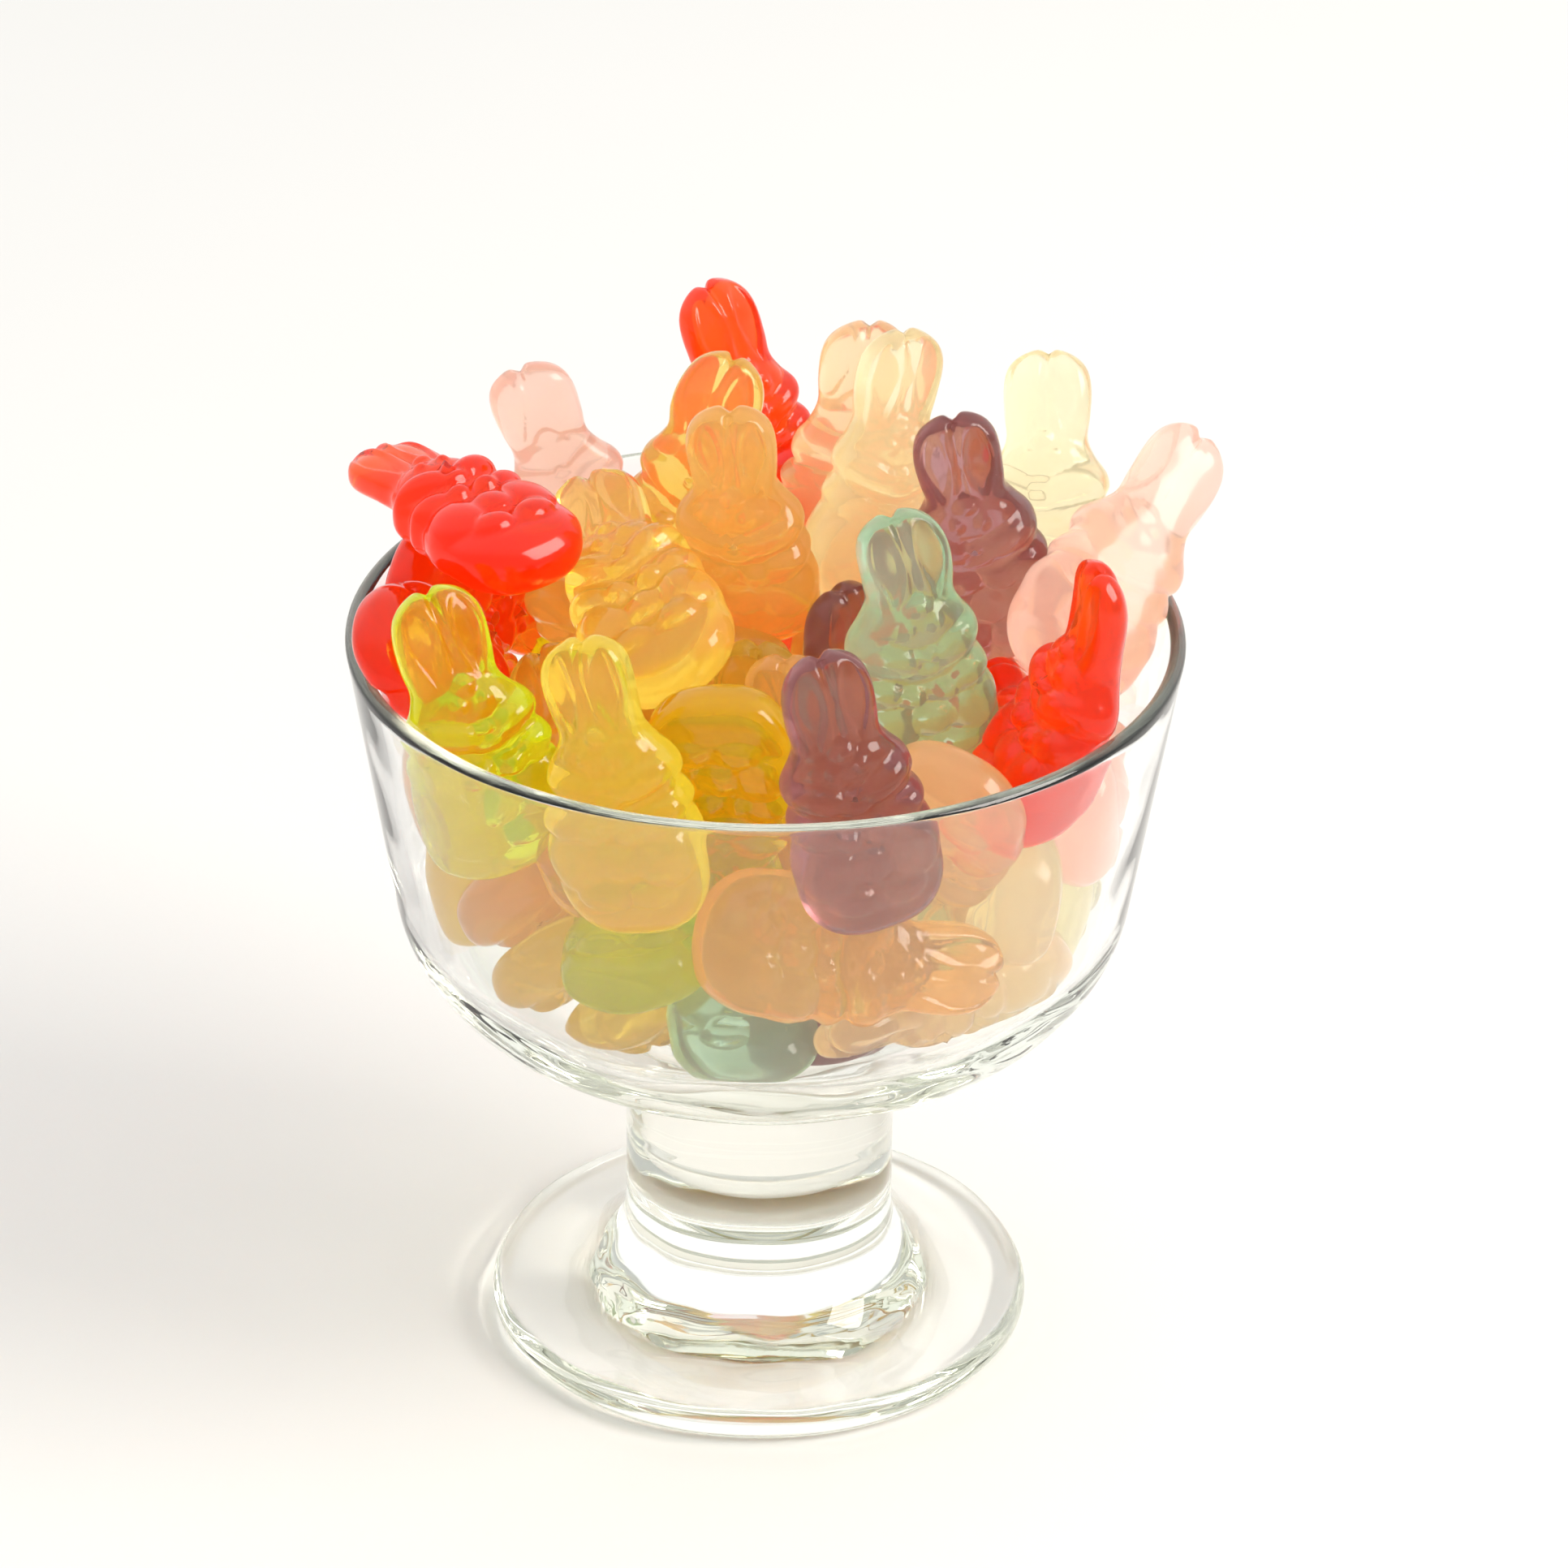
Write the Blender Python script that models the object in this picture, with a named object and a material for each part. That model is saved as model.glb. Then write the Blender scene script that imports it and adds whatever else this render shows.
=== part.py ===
"""A footed dessert bowl of thick pressed glass, heaped with gummy bunnies.

Two solids: the glass, turned in one piece, and the heap of sweets, a lumpy core
with the bunnies that show fused on. Lengths are in millimetres until a mesh is
made, and in metres in the mesh. The origin is the middle of the foot's
underside, with +Z up. The front of the bowl is at -Y.
"""
import math

import bmesh
import bpy
import mathutils
import numpy as np

MM = 0.001

# Driving sizes of the glass, in mm
HEIGHT = 99.2            # table to rim
RIM_RADIUS = 52.0        # outside of the rim
LIP = 1.0                # radius that rounds the rim, half the wall there
WALL_TAPER = 8.8         # degrees that the side leans out
BELLY_RADIUS = 27.5      # where the floor turns up into the side
BELLY_HEIGHT = 66.0      # centre of the round belly
BELLY_OUTER = 19.3       # belly's radius outside
BELLY_INNER = 17.0       # and inside, across
FLOOR_TOP = 50.8         # top of the thick floor where the belly starts
FLOOR_DIP = 0.5          # the floor sinks this much towards its middle
UNDER_RISE = 0.8         # the underside of the cup falls this much towards the stem
STEM_RADIUS = 17.3
STEM_FILLET = 3.0        # round under the cup
FOOT_RADIUS = 35.0
FOOT_EDGE = 2.2          # half the thickness of the foot's rounded edge
FOOT_TOP = 4.9           # top of the foot where the stem's flare ends
FLARE_RADIUS = 27.0      # where the flare meets the foot
FLARE_HEIGHT = 16.5      # where the stem starts to flare
GLASS_STEPS = 48         # sides of the turned glass

# A bunny, standing, ears up and face to -Y. Each row is a level of its body:
# height, half width, depth of the front and depth of the back, in mm.
BUNNY_LEVELS = (
    (1.6, 6.0, 2.6, 2.4),      # round bottom
    (6.3, 9.0, 5.2, 4.2),      # feet
    (11.0, 8.9, 4.3, 4.6),     # tummy
    (15.2, 8.0, 5.2, 4.6),     # arms and paws
    (17.8, 7.4, 4.0, 4.4),     # neck
    (20.8, 7.4, 5.2, 4.2),     # cheeks
    (24.1, 6.1, 3.8, 3.6),     # eyes
    (26.6, 5.1, 2.8, 3.0),     # foot of the ears
    (32.2, 5.4, 3.0, 3.0),     # middle of the ears
    (36.6, 4.0, 2.2, 2.2),     # ear tips
)
BUNNY_LENGTH = 38.0
BUNNY_SIDES = 8
BUNNY_MIDDLE = 17.0      # height of the point that a bunny is placed and turned by
EAR_NOTCH = 1.4          # depth of the dip between the ear tips
SQUARENESS = 0.75        # power that squares off a bunny's round section

# Balls that fill a bunny, for settling the heap: across, height and radius.
# Each ball off the middle has a twin on the other side.
BUNNY_BALLS = (
    (4.3, 4.9, 4.6), (0.0, 4.9, 4.7), (4.4, 9.8, 4.7), (0.0, 9.8, 4.8), (3.7, 14.8, 4.5),
    (0.0, 14.8, 4.6), (2.9, 20.5, 4.4), (2.2, 25.4, 3.6), (2.2, 30.2, 3.0), (2.2, 34.8, 2.8),
)

# The bunnies that show, placed by eye: colour, middle in mm, tilt from upright,
# heading that the ears lean to (0 is +X, 90 is +Y), turn of the face about the
# body (0 faces the front), all in degrees, bend of the body in mm, and size.
BUNNIES = (
    # standing out of the heap, left to right
    ("red", (-36.5, 3, 112), 85, 132, 82, 1, 1.00),               # lies over the left rim
    ("pink", (-24.5, 29, 100.3), 22, 158, 195, 1, 1.00),          # back turned, far left
    ("yellow", (-16, -6, 106.5), 73, 110, 28, 0, 1.04),           # glossy, lies on its back
    ("gold", (-10, 19, 106.2), 14, -27, -12, 1, 0.98),
    ("orange", (-3, 3, 108.3), 15, -111, -5, 1, 1.02),            # middle
    ("red", (-1.5, 40, 105.6), 21, 162, 40, 2, 1.00),             # the tallest, at the back
    ("peach", (10.2, 26, 106.6), 7, 14, 180, 1, 1.00),
    ("cream", (14, 16, 109.4), 9, -18, 30, 1, 1.00),
    ("purple", (26, 8, 105.3), 17, -122, 0, 0, 1.02),
    ("cream", (35, 24, 102), 16, 88, -12, 0, 1.00),
    ("pink", (43, 5, 104), 56, 53, 176, 1, 1.04),                 # leans over the right rim
    ("red", (38, -24.5, 97.2), 17, -25, -72, -4, 1.02),           # side view, bent
    ("mint", (18.7, -17, 102.8), 12, -155, 18, 0, 1.04),
    ("purple", (10.5, -40.5, 96.6), 15, -145, 14, 0, 1.02),       # at the glass, front
    ("yellow", (-16.5, -37.5, 95.3), 14, -172, -12, 0, 1.04),     # at the glass, front
    ("lime", (-36, -26, 92.4), 17, 160, 25, 1, 1.03),
    # lower in the heap, between the ones above
    ("amber", (-4.5, -31, 91), 168, 60, 8, 0, 0.97),              # head down
    ("orange", (5, -20, 87), 13, -118, -10, 0, 1.00),
    ("peach", (23, -27, 84), 149, 92, 25, 0, 1.00),               # head down
    ("red", (-39, -5, 97), 116, 66, -85, 2, 1.00),
    ("red", (-37, 20, 92), 122, 59, -40, 1, 1.00),
    ("orange", (-18, 14, 90), 131, 61, 48, 0, 1.00),
    ("amber", (-26, 7, 83), 105, 102, 77, 0, 1.00),
    ("purple", (10, 3, 85), 14, -106, 51, 0, 1.00),
    ("gold", (1, -9, 83), 15, -116, -11, 0, 1.00),
    ("red", (31, 2, 84), 66, -84, -47, 0, 1.00),
    ("pink", (40, -3.7, 78.8), 97, 86, -51, 0, 1.00),
    ("orange", (-23, -20, 85), 55, 110, 5, 0, 1.00),
    # behind the glass
    ("peach", (-40, -6, 81), 102, 96, -130, 0, 1.00),
    ("gold", (-36, 5, 64), 95, 80, -44, 0, 1.00),
    ("coral", (-24.5, -9, 68), 108, 56, 14, 0, 1.00),
    ("gold", (-20.5, -12, 60), 106, 65, 16, 0, 0.95),
    ("lime", (-14, -28, 73), 87, 83, -74, 0, 1.00),
    ("gold", (-8, -19, 58), 94, 60, 40, 0, 1.00),
    ("mint", (-5, -27, 65.5), 48, 104, 20, 0, 1.00),
    ("orange", (8, -36, 73.7), 104, 13, -26, 0, 1.00),            # flat against the glass
    ("peach", (23, -24, 61), 87, -138, -44, 0, 1.00),
    ("purple", (10, -15, 56), 90, 64, 89, 0, 1.00),
    ("cream", (29, -16, 76), 96, 98, 47, 0, 0.95),
    ("cream", (36.3, 4, 64.3), 85, 94, 143, 0, 1.00),
    ("mint", (27, 6, 60), 89, 85, -177, 0, 1.00),
)

# The rest fills the bowl behind them, drawn at random from a fixed seed.
FILL_COUNT = 17
FILL_SEED = 5
FILL_TRIES = 60          # places tried for each
FILL_RADIUS = 38.0
FILL_SPREAD = (-0.3, 3.4)  # radians, so that none is drawn at the front
FILL_LOW, FILL_HIGH = 56.0, 96.0

# Settling: overlaps are pushed apart until they are gone.
SETTLE_ROUNDS = 200
SHOWN_GIVE = 0.02        # how easily a bunny that shows is pushed, against one that fills
WALL_GAP = 0.6           # clear of the glass
REACH = 41.0             # bunnies further apart than this can't touch

# The core of the heap, as radius and height in mm
CORE_PROFILE = ((0.0, 94.0), (16.0, 93.5), (29.0, 91.5), (37.5, 87.0), (39.5, 80.0), (38.5, 72.0),
                (35.0, 64.5), (27.0, 59.5), (14.0, 57.0), (0.0, 56.5))
CORE_STEPS = 20

# A bunny that lies far out or high up is pegged to the heap below it
PEG_OUT, PEG_UP = 36.0, 103.0    # distance from the axis and height where pegs start
PEG_AIM = (0.0, 0.0, 82.0)       # pegs point at this
PEG_LENGTH = 21.0
PEG_WIDTH = 2.4


def clear_scene():
    """Remove the objects that the file starts with."""
    for thing in list(bpy.data.objects):
        bpy.data.objects.remove(thing)


def finish(name, colour, roughness, transmission):
    """A plain material: linear colour, roughness and how much light goes through."""
    made = bpy.data.materials.new(name)
    made.use_nodes = True
    shader = made.node_tree.nodes["Principled BSDF"]
    shader.inputs["Base Color"].default_value = (*colour, 1.0)
    shader.inputs["Roughness"].default_value = roughness
    shader.inputs["Metallic"].default_value = 0.0
    shader.inputs["Transmission Weight"].default_value = transmission
    return made


def arc(centre, radii, start, end, count):
    """Points (r, z) on an ellipse's arc, angles in degrees."""
    angles = np.radians(np.linspace(start, end, count))
    return [(centre[0] + radii[0] * math.cos(a), centre[1] + radii[1] * math.sin(a)) for a in angles]


def inner_profile():
    """The inside of the cup as (r, z), from the middle of the floor up to the rim."""
    belly_radii = (BELLY_INNER, BELLY_HEIGHT - FLOOR_TOP)
    belly = arc((BELLY_RADIUS, BELLY_HEIGHT), belly_radii, -90, -WALL_TAPER, 7)
    return [(0.0, FLOOR_TOP - FLOOR_DIP)] + belly + [(RIM_RADIUS - 2 * LIP, HEIGHT - LIP)]


def glass_profile():
    """The whole glass as (r, z): the inside, then down the outside to the foot's middle."""
    rim = arc((RIM_RADIUS - LIP, HEIGHT - LIP), (LIP, LIP), 180, 0, 5)
    belly = arc((BELLY_RADIUS, BELLY_HEIGHT), (BELLY_OUTER, BELLY_OUTER), -WALL_TAPER, -90, 7)
    under = BELLY_HEIGHT - BELLY_OUTER - UNDER_RISE
    neck = arc((STEM_RADIUS + STEM_FILLET, under - STEM_FILLET), (STEM_FILLET, STEM_FILLET), 90, 180, 4)
    flare_radii = (FLARE_RADIUS - STEM_RADIUS, FLARE_HEIGHT - FOOT_TOP)
    flare = arc((FLARE_RADIUS, FLARE_HEIGHT), flare_radii, 180, 270, 6)
    edge = arc((FOOT_RADIUS - FOOT_EDGE, FOOT_EDGE), (FOOT_EDGE, FOOT_EDGE), 90, -90, 6)
    return inner_profile()[:-1] + rim + belly + neck + flare + edge + [(0.0, 0.0)]


def turned(name, profile, steps, material):
    """Turn a profile round the Z axis into one closed, smooth solid."""
    mesh = bpy.data.meshes.new(name)
    mesh.from_pydata([(r * MM, 0.0, z * MM) for r, z in profile],
                     [(i, i + 1) for i in range(len(profile) - 1)], [])
    solid = bpy.data.objects.new(name, mesh)
    bpy.context.collection.objects.link(solid)
    screw = solid.modifiers.new("turn", "SCREW")
    screw.steps = steps
    screw.render_steps = steps
    screw.use_merge_vertices = True
    screw.merge_threshold = 0.00001
    screw.use_smooth_shade = True
    mesh.materials.append(material)
    return solid


def bunny_points(bend, size):
    """One bunny's rings as an array (levels, sides, 3), and its two end points.

    Each level is a squared ellipse. The bend moves both ends back, by the square
    of the distance from the middle of the body.
    """
    levels = np.array(BUNNY_LEVELS)
    around = np.linspace(0.0, 2 * np.pi, BUNNY_SIDES, endpoint=False)
    across = np.sign(np.cos(around)) * np.abs(np.cos(around)) ** SQUARENESS
    through = np.sign(np.sin(around)) * np.abs(np.sin(around)) ** SQUARENESS
    depth = np.where(through[None] < 0, levels[:, 2:3], levels[:, 3:4])
    rings = np.empty((len(levels), BUNNY_SIDES, 3))
    rings[..., 0] = levels[:, 1:2] * across
    rings[..., 1] = depth * through
    rings[..., 2] = levels[:, :1] + 0.0 * across
    rings[-1, :, 2] += 1.0 * np.abs(across)
    ends = np.array([(0.0, 0.0, 0.0), (0.0, 0.0, BUNNY_LENGTH - EAR_NOTCH)])
    half = BUNNY_LENGTH / 2
    for points in (rings, ends):
        points[..., 1] += bend * ((points[..., 2] - half) / half) ** 2
        points[..., 2] -= BUNNY_MIDDLE
        points *= size
    return rings, ends


def add_bunny(name, centre, turn, bend, size, collection):
    """A closed low bunny at its place in the heap, pressed flat where it meets the glass."""
    rings, ends = bunny_points(bend, size)
    points = np.concatenate([rings.reshape(-1, 3), ends]) @ turn.T + centre
    points += wall_push(points, np.zeros(len(points)), np.array(inner_profile()))
    levels, sides = rings.shape[:2]
    low, high = levels * sides, levels * sides + 1
    faces = []
    for side in range(sides):
        after = (side + 1) % sides
        faces.append((low, after, side))
        faces.append((high, (levels - 1) * sides + side, (levels - 1) * sides + after))
        for level in range(levels - 1):
            a, b = level * sides + side, level * sides + after
            faces.append((a, b, b + sides, a + sides))
    mesh = bpy.data.meshes.new(name)
    mesh.from_pydata((points * MM).tolist(), [], faces)
    bunny = bpy.data.objects.new(name, mesh)
    collection.objects.link(bunny)
    return bunny


def add_peg(name, start, collection):
    """A thin square peg from a bunny's middle into the heap."""
    way = mathutils.Vector(PEG_AIM) - mathutils.Vector(start)
    turn = way.to_track_quat("Z", "Y").to_matrix().to_4x4()
    place = mathutils.Matrix.Translation(mathutils.Vector(start) * MM) @ turn
    mesh = bpy.data.meshes.new(name)
    bm = bmesh.new()
    bmesh.ops.create_cone(bm, cap_ends=True, segments=4, radius1=PEG_WIDTH * MM,
                          radius2=0.6 * PEG_WIDTH * MM, depth=PEG_LENGTH * MM)
    bmesh.ops.translate(bm, verts=bm.verts, vec=(0.0, 0.0, PEG_LENGTH * MM / 2))
    bmesh.ops.transform(bm, matrix=place, verts=bm.verts)
    bm.to_mesh(mesh)
    bm.free()
    collection.objects.link(bpy.data.objects.new(name, mesh))


def facing(tilt, heading, turn):
    """Rotation matrix of a bunny: columns are its own X, Y and Z in the bowl's frame."""
    tilt, heading, turn = np.radians((tilt, heading, turn))
    up = np.array([math.sin(tilt) * math.cos(heading), math.sin(tilt) * math.sin(heading), math.cos(tilt)])
    front = np.array([0.0, -1.0, 0.0])
    front = front - (front @ up) * up
    front /= np.linalg.norm(front)
    front = front * math.cos(turn) + np.cross(up, front) * math.sin(turn)
    return np.stack([np.cross(up, front), -front, up], axis=1)


def drawn_fill(shown):
    """Middles, rotations and sizes of the bunnies that fill the bowl behind the shown ones.

    Each takes the roomiest of a number of random places.
    """
    draw = np.random.RandomState(FILL_SEED)
    middles, turns, sizes = [], [], []
    for _ in range(FILL_COUNT):
        reach = FILL_RADIUS * np.sqrt(draw.uniform(size=FILL_TRIES))
        angle = draw.uniform(FILL_SPREAD[0], FILL_SPREAD[1], FILL_TRIES)
        height = draw.uniform(FILL_LOW, FILL_HIGH, FILL_TRIES)
        places = np.stack([reach * np.cos(angle), reach * np.sin(angle), height], axis=1)
        room = np.linalg.norm(places[:, None] - np.array(shown + middles), axis=2).min(1)
        middles.append(tuple(places[room.argmax()]))
        turns.append(facing(draw.uniform(60, 120), draw.uniform(0, 360), draw.uniform(0, 360)))
        sizes.append(draw.uniform(0.94, 1.03))
    return middles, turns, sizes


def small_turns(vectors):
    """Rotation matrices for an array of small rotation vectors (Rodrigues' formula)."""
    angle = np.linalg.norm(vectors, axis=-1, keepdims=True)
    axis = vectors / np.maximum(angle, 1e-12)
    cross = np.zeros(vectors.shape[:-1] + (3, 3))
    cross[..., 0, 1], cross[..., 0, 2] = -axis[..., 2], axis[..., 1]
    cross[..., 1, 0], cross[..., 1, 2] = axis[..., 2], -axis[..., 0]
    cross[..., 2, 0], cross[..., 2, 1] = -axis[..., 1], axis[..., 0]
    angle = angle[..., None]
    return np.eye(3) + np.sin(angle) * cross + (1 - np.cos(angle)) * (cross @ cross)


def wall_push(centres, radii, profile):
    """How far each ball has to move to clear the glass, as vectors."""
    away = np.hypot(centres[:, 0], centres[:, 1])
    flat = np.stack([away, centres[:, 2]], axis=1)
    start, along = profile[:-1], profile[1:] - profile[:-1]
    share = ((flat[:, None] - start) * along).sum(-1) / (along ** 2).sum(-1)
    offset = flat[:, None] - (start + np.clip(share, 0, 1)[..., None] * along)
    nearest = (offset ** 2).sum(-1).argmin(1)
    inward = np.stack([-along[nearest, 1], along[nearest, 0]], axis=1)
    inward /= np.linalg.norm(inward, axis=1, keepdims=True)
    clear = (offset[np.arange(len(flat)), nearest] * inward).sum(1)
    below = centres[:, 2] <= HEIGHT - LIP
    push = inward * (np.maximum(radii + WALL_GAP - clear, 0) * below)[:, None]
    from_lip = flat - np.array([RIM_RADIUS - LIP, HEIGHT - LIP])
    reach = np.linalg.norm(from_lip, axis=1)
    lift = np.maximum(radii + LIP + WALL_GAP - reach, 0) * ~below
    push += from_lip / np.maximum(reach, 1e-9)[:, None] * lift[:, None]
    outward = centres[:, :2] / np.maximum(away, 1e-9)[:, None]
    return np.concatenate([outward * push[:, :1], push[:, 1:]], axis=1)


def settle(middles, turns, sizes, give):
    """Push overlapping bunnies apart, and off the glass, until they only touch.

    Each bunny is a set of balls. A ball that overlaps another bunny's ball moves
    and turns its bunny by half the overlap, and the glass pushes every ball in.
    """
    balls = [(side * x, 0.0, z, r) for x, z, r in BUNNY_BALLS for side in ((1, -1) if x else (1,))]
    balls = np.array(balls)
    offsets = (balls[:, :3] - np.array([0.0, 0.0, BUNNY_MIDDLE]))[None] * sizes[:, None, None]
    radii = balls[None, :, 3] * sizes[:, None]
    profile = np.array(inner_profile())
    first, second = np.triu_indices(len(middles), 1)
    for _ in range(SETTLE_ROUNDS):
        near = np.linalg.norm(middles[first] - middles[second], axis=1) < REACH
        one, two = first[near], second[near]
        arms = offsets @ np.transpose(turns, (0, 2, 1))
        centres = middles[:, None] + arms
        apart = centres[one][:, :, None] - centres[two][:, None]
        distance = np.sqrt((apart ** 2).sum(-1))
        overlap = np.maximum(radii[one][:, :, None] + radii[two][:, None] - distance, 0)
        force = apart * (0.5 * overlap / np.maximum(distance, 1e-6))[..., None]
        push = 1.5 * wall_push(centres.reshape(-1, 3), radii.ravel(), profile).reshape(centres.shape)
        np.add.at(push, one, force.sum(2))
        np.add.at(push, two, -force.sum(1))
        touched = np.maximum((np.abs(push).sum(-1) > 1e-6).sum(1), 1)
        ease = (0.8 * give / touched)[:, None]
        middles = middles + np.clip(push.sum(1) * ease, -1.5, 1.5)
        spin = np.clip(np.cross(arms, push).sum(1) / 90.0 * ease, -0.15, 0.15)
        turns = small_turns(spin) @ turns
    return middles, turns


def settled_bunnies():
    """Every bunny of the bowl at rest: middles, rotations, bends and sizes."""
    middles = [row[1] for row in BUNNIES]
    turns = [facing(row[2], row[3], row[4]) for row in BUNNIES]
    sizes = [row[6] for row in BUNNIES]
    fill_middles, fill_turns, fill_sizes = drawn_fill(middles)
    sizes = np.array(sizes + fill_sizes)
    bends = [row[5] for row in BUNNIES] + [1] * FILL_COUNT
    give = np.array([SHOWN_GIVE] * len(BUNNIES) + [1.0] * FILL_COUNT)
    middles = np.array(middles + fill_middles, float)
    middles, turns = settle(middles, np.array(turns + fill_turns), sizes, give)
    return middles, turns, bends, sizes


def fused(core, collection):
    """Join a collection's pieces to the core in one union, and keep one solid skin.

    Hollows that the union seals are filled and loose scraps are dropped: of the
    separate skins that are left, only the largest stays.
    """
    union = core.modifiers.new("fuse", "BOOLEAN")
    union.operation = "UNION"
    union.operand_type = "COLLECTION"
    union.collection = collection
    union.solver = "EXACT"
    union.use_self = True
    bpy.context.view_layer.update()
    joined = bpy.data.meshes.new_from_object(core.evaluated_get(bpy.context.evaluated_depsgraph_get()))
    core.modifiers.clear()
    core.data = joined
    for piece in list(collection.objects):
        bpy.data.objects.remove(piece)
    bpy.data.collections.remove(collection)
    bm = bmesh.new()
    bm.from_mesh(joined)
    bmesh.ops.triangulate(bm, faces=bm.faces)
    skins = skins_of(bm)
    largest = max(skins, key=len)
    for skin in skins:
        if skin is not largest:
            bmesh.ops.delete(bm, geom=skin, context="FACES")
    bmesh.ops.delete(bm, geom=[vert for vert in bm.verts if not vert.link_faces], context="VERTS")
    bm.to_mesh(joined)
    bm.free()


def skins_of(bm):
    """The faces of a mesh in lists, one for each connected skin."""
    seen, skins = set(), []
    for face in bm.faces:
        if face in seen:
            continue
        seen.add(face)
        skin, waiting = [], [face]
        while waiting:
            here = waiting.pop()
            skin.append(here)
            for edge in here.edges:
                for other in edge.link_faces:
                    if other not in seen:
                        seen.add(other)
                        waiting.append(other)
        skins.append(skin)
    return skins


def main():
    clear_scene()
    clear = finish("clear glass", (0.86, 0.90, 0.88), 0.03, 0.9)
    gummy = finish("gummy", (0.90, 0.45, 0.20), 0.35, 0.5)
    turned("glass_bowl", glass_profile(), GLASS_STEPS, clear)
    heap = turned("gummy_heap", CORE_PROFILE, CORE_STEPS, gummy)
    bpy.context.view_layer.objects.active = heap
    pieces = bpy.data.collections.new("pieces")
    bpy.context.scene.collection.children.link(pieces)
    for index, (middle, turn, bend, size) in enumerate(zip(*settled_bunnies())):
        add_bunny(f"bunny_{index}", middle, turn, bend, size, pieces)
        if math.hypot(middle[0], middle[1]) > PEG_OUT or middle[2] > PEG_UP:
            add_peg(f"peg_{index}", middle, pieces)
    fused(heap, pieces)


main()
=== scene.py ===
"""Dresses the footed glass of gummy bunnies: the clear glass and every sweet in it.

Shapes are worked out in millimetres, as arrays, and turned to metres when a mesh
is made. The frame is the CAD model's: the origin is the middle of the foot's
underside, +Z is up, and the front of the glass is at -Y.
"""
import logging
import math
from dataclasses import dataclass, field
from enum import Enum
from typing import Any

import bpy
import numpy as np
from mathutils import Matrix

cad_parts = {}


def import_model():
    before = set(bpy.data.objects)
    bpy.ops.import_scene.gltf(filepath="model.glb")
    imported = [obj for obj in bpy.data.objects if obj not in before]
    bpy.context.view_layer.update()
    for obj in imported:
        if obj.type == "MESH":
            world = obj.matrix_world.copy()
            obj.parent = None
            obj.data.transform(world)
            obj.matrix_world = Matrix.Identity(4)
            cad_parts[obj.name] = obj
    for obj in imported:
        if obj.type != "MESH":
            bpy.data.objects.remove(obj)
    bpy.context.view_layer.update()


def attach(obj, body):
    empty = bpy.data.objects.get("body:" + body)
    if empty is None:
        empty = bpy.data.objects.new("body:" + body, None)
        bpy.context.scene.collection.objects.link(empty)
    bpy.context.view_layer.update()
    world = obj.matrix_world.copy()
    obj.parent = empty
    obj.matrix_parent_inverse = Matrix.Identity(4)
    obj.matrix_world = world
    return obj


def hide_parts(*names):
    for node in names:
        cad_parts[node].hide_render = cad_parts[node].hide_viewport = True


Array = np.ndarray
MM = 0.001
log = logging.getLogger("gummy_bowl")


# --- Small tools -------------------------------------------------------------


def linear(code: str) -> tuple[float, float, float]:
    """Turn an sRGB hex colour to linear light.

    Args:
        code: Colour as "#RRGGBB".

    Returns:
        Red, green and blue, each from 0 to 1.
    """
    values = [int(code[i:i + 2], 16) / 255 for i in (1, 3, 5)]
    return tuple(v / 12.92 if v <= 0.04045 else ((v + 0.055) / 1.055) ** 2.4 for v in values)


def curve_through(knots: tuple, where: Array) -> Array:
    """A smooth curve through (position, value) knots.

    Between two knots it is the cubic whose slope at each knot is the mean of the
    straight slopes on both sides.

    Args:
        knots: Pairs of position and value, positions rising.
        where: Positions to read the curve at.

    Returns:
        The curve's values.
    """
    x, y = np.array(knots, float).T
    straight = np.diff(y) / np.diff(x)
    slope = np.concatenate([straight[:1], (straight[1:] + straight[:-1]) / 2, straight[-1:]])
    at = np.clip(np.searchsorted(x, where) - 1, 0, len(x) - 2)
    step = x[at + 1] - x[at]
    t = np.clip((where - x[at]) / step, 0, 1)
    return (y[at] * (1 + 2 * t) * (1 - t) ** 2 + y[at + 1] * t ** 2 * (3 - 2 * t)
            + step * (slope[at] * t * (1 - t) ** 2 - slope[at + 1] * t ** 2 * (1 - t)))


def smooth_step(low: float, high: float, value: Array) -> Array:
    """Rise from 0 at low to 1 at high, flat at both ends."""
    t = np.clip((value - low) / (high - low), 0, 1)
    return t * t * (3 - 2 * t)


def fan(pole: int, rim: Array) -> Array:
    """Triangles that close a ring with a pole; round the other way for a reversed ring."""
    return np.stack([np.full(len(rim), pole), rim, np.roll(rim, -1)], axis=1)


def closed_grid_faces(rows: int, columns: int) -> Array:
    """Corner numbers of a grid of rings that is closed round its columns.

    Args:
        rows: Number of rings.
        columns: Number of points on each ring.

    Returns:
        One row of four vertex numbers for each face.
    """
    ring, side = np.meshgrid(np.arange(rows - 1), np.arange(columns), indexing="ij")
    a = ring * columns + side
    b = ring * columns + (side + 1) % columns
    return np.stack([a, b, b + columns, a + columns], axis=-1).reshape(-1, 4)


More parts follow.
